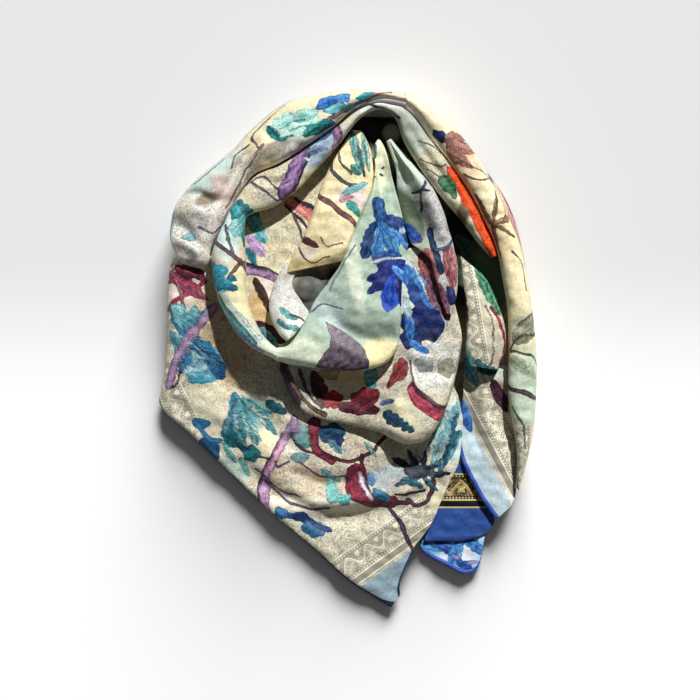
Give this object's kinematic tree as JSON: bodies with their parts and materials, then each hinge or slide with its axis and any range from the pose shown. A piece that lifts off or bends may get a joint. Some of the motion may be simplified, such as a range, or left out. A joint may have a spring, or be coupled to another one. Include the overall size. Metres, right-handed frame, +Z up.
{
  "type": "square scarf",
  "caption": "Square silk scarf with a figured print, wound into a loose collar and laid flat, its cowl, point and hemmed tails to the front.",
  "frame": {"origin": "middle of the footprint, on the surface the scarf lies on", "axes": "+Z up from the surface, +Y from the scarf's point towards the back of its collar, +X to the right seen from above"},
  "size_m": [0.3712, 0.5201, 0.0641],
  "materials": {
    "corner_tail": "satin silk, printed corner of the lowest end, cyan and royal blue",
    "navy_tail": "satin silk, end of the dark side, black and royal blue with a gold motif",
    "border_tail": "satin silk, light-blue border with its blue hem side",
    "front_panel": "satin silk, large front triangle, scroll print on cream",
    "outer_sliver": "satin silk, edge of a lower layer under the back roll",
    "back_roll": "satin silk, right outer roll",
    "shoulder_roll": "satin silk, left and top outer roll",
    "collar_roll": "satin silk, inner roll round the neck opening",
    "inner_back": "satin silk, cloth at the bottom of the collar",
    "swag": "satin silk, lower drape of the cowl",
    "cowl_curl": "satin silk, turned lip left of the cowl",
    "inner_fold": "satin silk, standing fold inside the collar",
    "cowl": "satin silk, upper drape of the cowl",
    "inner_strip": "satin silk, narrow fold right of the cowl",
    "border_fold": "satin silk, short fold between the swag and the back roll",
    "corner_hem": "satin silk, rolled hem",
    "tail_hem": "satin silk, rolled hem",
    "point_hem": "satin silk, rolled hem",
    "hidden_layers": "satin silk, hidden layers"
  },
  "bodies": {
    "root": {"corner_tail": "corner_tail", "navy_tail": "navy_tail", "border_tail": "border_tail", "front_panel": "front_panel", "outer_sliver": "outer_sliver", "back_roll": "back_roll", "shoulder_roll": "shoulder_roll", "collar_roll": "collar_roll", "inner_back": "inner_back", "swag": "swag", "cowl_curl": "cowl_curl", "inner_fold": "inner_fold", "cowl": "cowl", "inner_strip": "inner_strip", "border_fold": "border_fold", "corner_hem": "corner_hem", "tail_hem": "tail_hem", "point_hem": "point_hem", "hidden_layers": "hidden_layers"}
  },
  "joints": []
}
